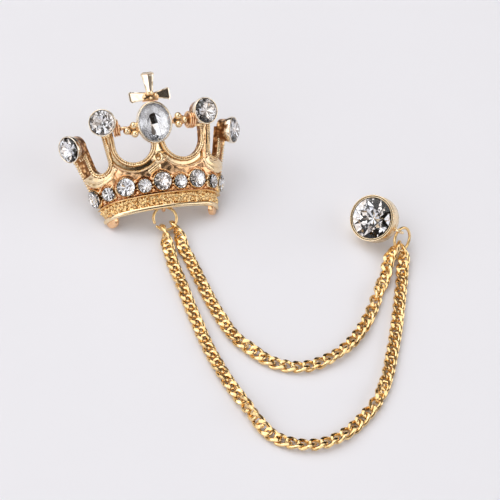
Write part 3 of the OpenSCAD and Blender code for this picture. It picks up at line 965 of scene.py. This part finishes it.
def brilliant(a, b, top, girdle, depth, table=0.56, folds=8, keel=None):
    """A brilliant cut: table, star, kite and girdle facets above, two rows and a point or keel below."""

    def ring(share, z, shift, count):
        t = 2 * math.pi * (np.arange(count) + shift) / count
        return np.stack([a * share * np.cos(t), b * share * np.sin(t), np.full(count, z)], -1)

    n = folds
    if keel is None:
        end = np.array([[0, 0, -depth]])
    else:
        half_w, half_l, lean, right, up = keel
        t = 2 * math.pi * np.arange(n) / n - lean
        corner = math.atan2(half_l, half_w)
        for place in (corner, math.pi - corner, math.pi + corner, 2 * math.pi - corner):
            t[np.argmin(np.abs(t - place))] = place
        to_side = half_w / np.maximum(np.abs(np.cos(t)), 1e-6)
        to_end = half_l / np.maximum(np.abs(np.sin(t)), 1e-6)
        reach = np.minimum(to_side, to_end)
        x, y = right + reach * np.cos(t + lean), up + reach * np.sin(t + lean)
        end = np.stack([x, y, np.full(n, -depth)], -1)
    rings = [
        ring(table, top, 0, n),
        ring((1 + table) / 2 + 0.02, girdle + (top - girdle) * 0.52, 0.5, n),
        ring(1.0, girdle, 0, 2 * n),
        ring(1.0, 0, 0, 2 * n),
        ring(0.5, -depth * 0.62, 0.5, n),
        end,
    ]
    starts = np.cumsum([0] + [len(r) for r in rings])
    t, s, g, l, p, c = (int(v) for v in starts[:6])
    faces, slots = [[t + i for i in range(n)]], [GLASS]

    def put(face, slot):
        faces.append(face)
        slots.append(slot)

    for i in range(n):
        j = (i + 1) % n
        put([t + i, t + j, s + i], GLASS)
        put([t + i, s + i, g + 2 * i, s + (i - 1) % n], GLASS)
        put([s + i, g + 2 * i, g + 2 * i + 1], GLASS)
        put([s + i, g + 2 * i + 1, g + (2 * i + 2) % (2 * n)], GLASS)
        for k in (0, 1):
            u, v = 2 * i + k, (2 * i + k + 1) % (2 * n)
            put([g + u, g + v, l + v, l + u], MIRROR)
        back = MIRROR if keel is None or i == OVAL_MIRROR_FOLD else PEARLY
        put([l + 2 * i, l + 2 * i + 1, p + i], back)
        put([l + 2 * i + 1, l + (2 * i + 2) % (2 * n), p + i], back)
        if keel is None:
            put([l + 2 * i, p + i, c, p + (i - 1) % n], MIRROR)
        else:
            put([l + 2 * i, p + i, c + i, p + (i - 1) % n], back)
            put([p + i, c + j, c + i], back)
    if keel is not None:
        put([c + i for i in range(n)], MIRROR)
    return np.vstack(rings), faces, slots


def add_stone(name, node, cut, place, *more_looks):
    """A cut stone of clear glass on its foil, in place of a plain one."""
    points, faces, slots = cut
    add_piece(name, points, faces, [crystal(), foil(), *more_looks], "stones", 0, place, [node], slots)


class BROOCH_OT_stones(Operator):
    """Make the clear cut stones of the crown"""

    bl_idname = "brooch.stones"
    bl_label = "Crown stones"
    bl_options = {"REGISTER", "UNDO"}

    def execute(self, context):
        for i, (turn, rise, r) in enumerate(ROW):
            cut = brilliant(r, r, 0.12 + 0.27 * r, 0.12, 0.32 * r)
            place = on_crown(turn, rise, SETTING_FRONT - 0.1) @ Matrix.Rotation(0.37 * i, 4, "Z")
            add_stone(f"row_stone_{i + 1}", f"band_stone_{i + 1}", cut, place)
        for i, (turn, rise) in enumerate(FINIALS):
            cut = brilliant(FINIAL_STONE_R, FINIAL_STONE_R, 1.05, 0.15, 0.95)
            place = on_crown(turn, rise, WALL_HALF + 3.35) @ Matrix.Rotation(0.3 + 0.5 * i, 4, "Z")
            add_stone(f"post_stone_{i + 1}", f"finial_stone_{i + 1}", cut, place)
        # half width, half length, lean, and the keel's place right of the middle and above it
        keel = (0.78, 1.75, 0.17, -0.3, 1.35)
        cut = brilliant(OVAL_HALF_W, OVAL_HALF_H, 1.1, 0.15, 0.85, 0.74, 10, keel)
        add_stone("oval_cut_stone", "oval_stone", cut, on_crown(0, OVAL_RISE, 1.5), pearl_foil())
        return {"FINISHED"}


# Rings and chains

STEPS_PER_SPAN = 8
FLOOR_Z = 0.81


def laid(*spots):
    """Route points that lie flat on the floor."""
    return [(x, y, FLOOR_Z, 0) for x, y in spots]


# The routes as x, y, height of the link's middle and roll in degrees.
OUTER_ROUTE = [
    (-0.95, -3.8, 1.53, 102), (-1.11, -6.89, 1.38, 33), (-1.01, -9.71, 1.02, 4),
    *laid((-1.15, -12.7), (-0.7, -20), (-0.2, -29), (0.6, -38), (2.2, -47), (4.1, -54), (5.9, -60.5)),
    *laid((8.6, -65), (13, -68), (18.2, -69), (23.4, -68), (28.5, -65.2), (34, -60.8), (38.2, -55.5)),
    *laid((42.2, -48.3), (46, -40.6), (51.6, -28)),
    (52.51, -25.46, 1, 1), (54, -22.31, 1.33, -11), (54.61, -19.75, 1.57, 95),
]
INNER_ROUTE = [
    (1.93, -3.23, 1.7, 100), (2.49, -6.31, 1.34, 31), (2.48, -9.24, 0.98, 1),
    *laid((3.1, -12.4), (4, -20), (5, -27), (6.3, -33), (8, -37.8), (11, -42.3), (15, -46), (20.4, -48)),
    *laid((26, -47.3), (31.5, -45), (36.5, -41.2), (41, -36), (45, -30.2)),
    (48.2, -25.8, FLOOR_Z, 1), (49.54, -23.14, 0.98, 0), (51.08, -20.79, 1.49, 1),
    (52.73, -19.28, 2.48, 135),
]
# Kinks, each as a link's number, its roll in degrees and how many links it reaches.
LONG_KINKS = ((22.5, 62, 1.3), (24.5, 40, 1.3), (31, -30, 2.5), (38, 35, 1.3))
SHORT_KINKS = ((16.5, 30, 1.3), (25, -22, 5.0), (33, 55, 1.3), (36, -35, 1.5))
SLACK_STEP, TAUT_STEP = 2.4, 2.7
LINK_LENGTH, LINK_WIDTH, LINK_TWIST, LINK_FLAT = 4.6, 3.14, -0.55, 0.76
JUMP_RING_R, JUMP_RING_WIRE = 2.8, 0.35


def smooth_route(route):
    """A fine smooth curve through the route's points."""
    p = np.asarray(route, float)
    fine = []
    for i in range(len(p) - 1):
        a, b, c, d = (p[min(max(k, 0), len(p) - 1)] for k in range(i - 1, i + 3))
        for k in range(STEPS_PER_SPAN):
            t = k / STEPS_PER_SPAN
            bend, twist = 2 * a - 5 * b + 4 * c - d, 3 * b - a - 3 * c + d
            fine.append(0.5 * (2 * b + (c - a) * t + bend * t**2 + twist * t**3))
    return np.array(fine + [p[-1]])


def link_places(route, kinks):
    """Middle and axes of every link along a route.

    The links lie closer where the chain runs up and down the floor than where it bends across it."""
    fine = smooth_route(route)
    ahead = np.diff(fine[:, :3], axis=0)
    length = np.linalg.norm(ahead, axis=1)
    run = np.concatenate([[0], np.cumsum(length)])
    pitch = SLACK_STEP + (TAUT_STEP - SLACK_STEP) * (ahead[:, 0] / length) ** 2
    tally = np.concatenate([[0], np.cumsum(length / pitch)])
    count = round(tally[-1])

    def at(s):
        return np.array([np.interp(s, run, fine[:, k]) for k in range(3)])

    for i in range(count + 1):
        s = np.interp(i * tally[-1] / count, tally, run)
        along = at(min(s + TAUT_STEP / 2, run[-1])) - at(max(s - TAUT_STEP / 2, 0))
        along /= np.linalg.norm(along)
        side = np.cross([0, 0, 1], along)
        side /= np.linalg.norm(side)
        up = np.cross(along, side)
        roll = math.radians(np.interp(s, run, fine[:, 3]))
        sway = 0.0 if abs(roll) > 0.02 else 0.11 * math.sin(1.7 * i) + 0.09 * math.sin(0.61 * i + 1)
        sway += sum(math.radians(lean) * math.exp(-(((i - k) / reach) ** 2)) for k, lean, reach in kinks)
        roll += sway
        cos, sin = math.cos(roll), math.sin(roll)
        axes = np.array([along, side * cos + up * sin, up * cos - side * sin])
        yield at(s) + np.array([PLACE[0], PLACE[1], 1.1 * abs(math.sin(sway))]), axes


def curb_link():
    """One twisted oval link of round wire with its top and bottom faces cut flat."""
    look = bpy.context.scene.brooch_chain
    t = np.linspace(0, 2 * math.pi, look.around, endpoint=False)
    wire = look.wire / MM
    half_l, half_w = LINK_LENGTH / 2 - wire, LINK_WIDTH / 2 - wire
    path = np.stack([half_l * np.cos(t), half_w * np.sin(t), LINK_TWIST * np.sin(2 * t)], -1)
    return swept_wire(path, wire, look.sides, flat=LINK_FLAT)


def add_chain(name, route, node, kinks):
    points, faces = curb_link()
    build = Build()
    for middle, axes in link_places(route, kinks):
        build.add(points @ axes + middle, faces)
    build.piece(name, [chain_gold()], "chain_gold", 32, [node])


def add_jump_ring(name, low, lean, turn, node):
    """A round jump ring with a fine split in its wire."""
    r, wire = JUMP_RING_R, JUMP_RING_WIRE
    t = np.linspace(math.radians(4), math.radians(356), 90) + math.radians(205)
    path = np.stack([r * np.cos(t), r + r * np.sin(t), 0 * t], -1)
    radius = np.full(len(t), wire)
    radius[[0, -1]] = 0.04
    radius[[1, -2]] = wire * 0.93
    place = Matrix.Translation((low[0] + PLACE[0], low[1] + PLACE[1], low[2]))
    place = place @ Matrix.Rotation(math.radians(turn), 4, "Z") @ Matrix.Rotation(math.radians(lean), 4, "X")
    points, faces = swept_wire(path, radius, 14, closed=False)
    add_piece(name, points, faces, [chain_gold()], "chain_gold", 60, place, [node])


class BROOCH_OT_chains(Operator):
    """Make the two curb chains and their jump rings"""

    bl_idname = "brooch.chains"
    bl_label = "Chains and rings"
    bl_options = {"REGISTER", "UNDO"}

    def execute(self, context):
        add_chain("long_curb_chain", OUTER_ROUTE, "chain_outer", LONG_KINKS)
        add_chain("short_curb_chain", INNER_ROUTE, "chain_inner", SHORT_KINKS)
        add_jump_ring("crown_jump_ring", (0, -3.09, 1.2), 31.2, 0, "crown_ring")
        add_jump_ring("stud_jump_ring", (55.42, -18.77, 1.16), 63, 32.3, "stud_ring")
        return {"FINISHED"}


# The stud pin and the crown's own pin

CUP_R, CUP_DEPTH, STUD_STONE_R = 5.65, 4.2, 5.0
PIN_RISE, PIN_LENGTH = 9, 11.15
STUD_TILT, STUD_TURN = math.radians(46), math.radians(208)
EYE_R, EYE_WIRE, EYE_TURN, EYE_RISE = 1.1, 0.32, math.radians(102), 1.38


def stud_matrix():
    base = Matrix.Translation((50.62 + PLACE[0], -11.17 + PLACE[1], CUP_R * math.sin(STUD_TILT)))
    return base @ Matrix.Rotation(STUD_TURN, 4, "Z") @ Matrix.Rotation(STUD_TILT, 4, "Y")


class BROOCH_OT_stud(Operator):
    """Make the round stud pin with its stone, eye and post"""

    bl_idname = "brooch.stud"
    bl_label = "Stud pin"
    bl_options = {"REGISTER", "UNDO"}

    def execute(self, context):
        place = stud_matrix()
        build = Build()
        lip = []
        for middle, half, top in ((CUP_R - 0.12, 0.12, 0), (CUP_R - 0.52, 0.1, 0.08)):
            rim = bow(middle, CUP_DEPTH - top - half, half, half)
            lip += [(middle + half, rim[0][1] - 0.25)] + rim + [(middle - half, rim[-1][1] - 0.25)]
        profile = [(0.02, 0.0), (CUP_R - 0.45, 0.0), (CUP_R - 0.12, 0.12), (CUP_R, 0.42), (CUP_R, 3.3)]
        profile += [(CUP_R - 0.08, 3.5), (CUP_R - 0.1, 3.75), *lip[1:]]
        profile += [(STUD_STONE_R + 0.06, 3.4), (STUD_STONE_R, 1.2), (0.02, 0.9)]
        around = 128
        points, faces = lathe(profile, around)
        # painted shade on the lip's groove and on the wall down to the stone
        painted_shade_rows = (15, 16, 17, 27, 28)
        build.add(points, faces, place, [int(i // around in painted_shade_rows) for i in range(len(faces))])
        turned = place @ Matrix.Rotation(EYE_TURN, 4, "Z")
        eye = turned @ Matrix.Translation((CUP_R + 1.0, 0, EYE_RISE))
        eye = eye @ Matrix.Rotation(math.pi / 2, 4, "X")
        turns = np.linspace(0, 2 * math.pi, 48, endpoint=False)
        ring = [(EYE_R * math.cos(a), EYE_R * math.sin(a), 0) for a in turns]
        build.add(*swept_wire(ring, EYE_WIRE, 12), eye)
        solder = [(0.02, -0.3), (0.75, -0.28), (0.62, 0.1), (0.38, 0.42), (0.02, 0.5)]
        joint = turned @ Matrix.Translation((CUP_R - 0.05, 0, EYE_RISE))
        joint = joint @ Matrix.Rotation(math.pi / 2, 4, "Y")
        build.add(*lathe(solder, 24), joint)
        build.piece("stud_cup_body", [satin_gold(), groove_shade_gold()], "gold", 45, ["stud_cup"])

        r = STUD_STONE_R - 0.04
        seat = place @ Matrix.Translation((0, 0, CUP_DEPTH - 0.45)) @ Matrix.Rotation(0.2, 4, "Z")
        add_stone("stud_cut_stone", "stud_stone", brilliant(r, r, 1.4, 0.15, 2.4, 0.55), seat)

        post = place @ Matrix.Translation((0, 0, -0.05)) @ Matrix.Rotation(math.pi, 4, "X")
        profile = [(0.02, 0), (1.6, 0), (1.6, 0.25), (1.5, 0.38), (0.62, 0.42), (0.5, 0.6), (0.5, 4.1)]
        profile += [(0.4, 4.2), (0.4, 4.4), (0.5, 4.5), (0.5, 4.8), (0.3, 5.15), (0.02, 5.27)]
        add_piece("stud_pin_post", *lathe(profile, 32), [satin_gold()], "pin_gold", 50, post, ["stud_post"])
        return {"FINISHED"}


class BROOCH_OT_pin(Operator):
    """Make the plain pin behind the crown, with its keeper"""

    bl_idname = "brooch.pin"
    bl_label = "Crown pin"
    bl_options = {"REGISTER", "UNDO"}

    def execute(self, context):
        place = on_crown(0, PIN_RISE, -WALL_HALF - 0.15) @ Matrix.Rotation(math.pi, 4, "X")
        length = PIN_LENGTH
        profile = [(0.02, 0), (2.3, 0), (2.4, 0.12), (2.4, 0.5), (2.25, 0.68), (0.75, 0.72), (0.55, 0.95)]
        profile += [(0.55, length - 2.7), (1.5, length - 2.62), (2.35, length - 2.55), (2.4, length - 2.2)]
        profile += [(2.1, length - 1.9), (2.1, length - 1.2), (2.6, length - 0.85), (2.8, length - 0.6)]
        profile += [(2.8, length - 0.12), (2.68, length), (0.9, length), (0.8, length - 0.25)]
        points, faces = lathe([*profile, (0.02, length - 0.3)], 48)
        add_piece("crown_pin_and_keeper", points, faces, [satin_gold()], "pin_gold", 40, place, ["pin_back"])
        return {"FINISHED"}


# The stage

CAMERA_RIGHT = Vector((0.95393, -0.27323, 0.12392))
CAMERA_UP = Vector((0.13389, 0.75735, 0.63913))
CAMERA_BACK = Vector((-0.26848, -0.59310, 0.75905))
CAMERA_PLACE = Vector((-118.73, -253.88, 338.43)) * MM


class BROOCH_OT_stage(Operator):
    """Make the camera, the pale floor and the soft studio light"""

    bl_idname = "brooch.stage"
    bl_label = "Stage"
    bl_options = {"REGISTER", "UNDO"}

    def execute(self, context):
        look = context.scene.brooch_stage
        camera = bpy.data.cameras.new("camera")
        camera.lens, camera.sensor_width, camera.clip_start = look.lens, 36.0, 0.01
        viewer = bpy.data.objects.new("camera", camera)
        turned = Matrix((CAMERA_RIGHT, CAMERA_UP, CAMERA_BACK)).transposed().to_4x4()
        viewer.matrix_world = Matrix.Translation(CAMERA_PLACE) @ turned
        context.scene.collection.objects.link(viewer)
        context.scene.camera = viewer
        self.floor(context, look)
        self.lights(context, look)
        self.room(context, look)
        context.scene.view_settings.view_transform = "Standard"
        context.scene.view_settings.look = "None"
        return {"FINISHED"}

    def floor(self, context, look):
        # half the floor's width, in metres
        size = 6.0
        mesh = bpy.data.meshes.new("pale_floor")
        corners = [(-size, -size, 0), (size, -size, 0), (size, size, 0), (-size, size, 0)]
        mesh.from_pydata(corners, [], [(0, 1, 2, 3)])

        def base(tree):
            dark = tuple(c * 0.985 for c in look.floor_colour)
            return tree.mix(tree.noise(40.0, 3), colour4(look.floor_colour), colour4(dark))

        mesh.materials.append(surface("pale_floor_paper", base, 0.0, 0.6, Specular_IOR_Level=0.25))
        floor = bpy.data.objects.new("pale_floor", mesh)
        context.scene.collection.objects.link(floor)

    def lights(self, context, look):
        place, power = Vector((-0.3, 0.35, 0.75)), 0.65
        lamp = bpy.data.lights.new("key_light", "AREA")
        lamp.size, lamp.energy, lamp.color = 0.3, power * look.light, (1.0, 0.99, 0.98)
        thing = bpy.data.objects.new("key_light", lamp)
        thing.location = place
        thing.rotation_euler = (-place).to_track_quat("-Z", "Y").to_euler()
        context.scene.collection.objects.link(thing)

    def room(self, context, look):
        """A pale room with bright panels and a few dim patches, each by its direction from the brooch."""
        world = bpy.data.worlds.new("studio_room")
        context.scene.world = world
        tree = Tree(world)
        way = tree.node("ShaderNodeTexCoord", out="Generated")

        def toward(x, y, z):
            inputs = {0: way, 1: tuple(Vector((x, y, z)).normalized())}
            return tree.node("ShaderNodeVectorMath", {"operation": "DOT_PRODUCT"}, inputs, out="Value")

        light = toward(0, 0, 1).ramp(0.0, 0.9, 0.36, 0.2)
        for direction, edge, soft, strength in (
            ((-0.3, 0.42, 0.86), 0.78, 0.05, 1.55),
            ((0.92, -0.1, 0.38), 0.93, 0.02, 1.4),
            ((0.60, -0.46, 0.64), 0.955, 0.02, 1.5),
            ((-0.86, -0.15, 0.48), 0.88, 0.04, 1.1),
            ((-0.55, -0.66, 0.51), 0.94, 0.02, 1.1),
            ((0.12, -0.97, 0.2), 0.95, 0.02, 0.9),
        ):
            light = light + toward(*direction).ramp(edge - soft, edge + soft, 0.0, strength)
        for direction, edge, soft, left in (
            ((0.35, 1.0, 0.1), 0.84, 0.05, 0.08),
            ((-0.5, 0.9, 0.0), 0.92, 0.03, 0.08),
            ((0.1, -0.6, 0.78), 0.957, 0.012, 0.12),
        ):
            light = light * toward(*direction).ramp(edge - soft, edge + soft, 1.0, left)
        shade = tree.mix(light.ramp(0.0, 0.9), (1.0, 0.82, 0.69, 1), (1.0, 0.99, 0.98, 1))
        back = tree.node("ShaderNodeBackground", {}, {"Color": shade, "Strength": light * look.light})
        tree.node("ShaderNodeOutputWorld", {}, {"Surface": back})


class BROOCH_PT_panel(Panel):
    """The brooch's pieces, one button each, with the sizes and colours that they use"""

    bl_idname = "BROOCH_PT_panel"
    bl_label = "Crown Brooch"
    bl_space_type = "VIEW_3D"
    bl_region_type = "UI"
    bl_category = "Brooch"

    def draw(self, context):
        layout = self.layout
        for operator in OPERATORS:
            layout.operator(operator.bl_idname)
        for holder in SETTINGS:
            box = layout.box()
            box.label(text=holder.replace("brooch_", "").title())
            group = getattr(context.scene, holder)
            for key in group.bl_rna.properties.keys():
                if key not in ("rna_type", "name"):
                    box.prop(group, key)


SETTINGS = {
    "brooch_metal": BroochMetal,
    "brooch_relief": BroochRelief,
    "brooch_chain": BroochChain,
    "brooch_stage": BroochStage,
}
OPERATORS = (
    BROOCH_OT_crown,
    BROOCH_OT_stones,
    BROOCH_OT_chains,
    BROOCH_OT_stud,
    BROOCH_OT_pin,
    BROOCH_OT_stage,
)
CLASSES = (*SETTINGS.values(), *OPERATORS, BROOCH_PT_panel)


def register():
    for cls in CLASSES:
        bpy.utils.register_class(cls)
    for holder, cls in SETTINGS.items():
        setattr(bpy.types.Scene, holder, PointerProperty(type=cls))


def unregister():
    for holder in SETTINGS:
        delattr(bpy.types.Scene, holder)
    for cls in reversed(CLASSES):
        bpy.utils.unregister_class(cls)


def main():
    register()
    bpy.ops.brooch.stage()
    bpy.ops.brooch.crown()
    bpy.ops.brooch.stones()
    bpy.ops.brooch.chains()
    bpy.ops.brooch.stud()
    bpy.ops.brooch.pin()


if __name__ == "__main__":
    main()
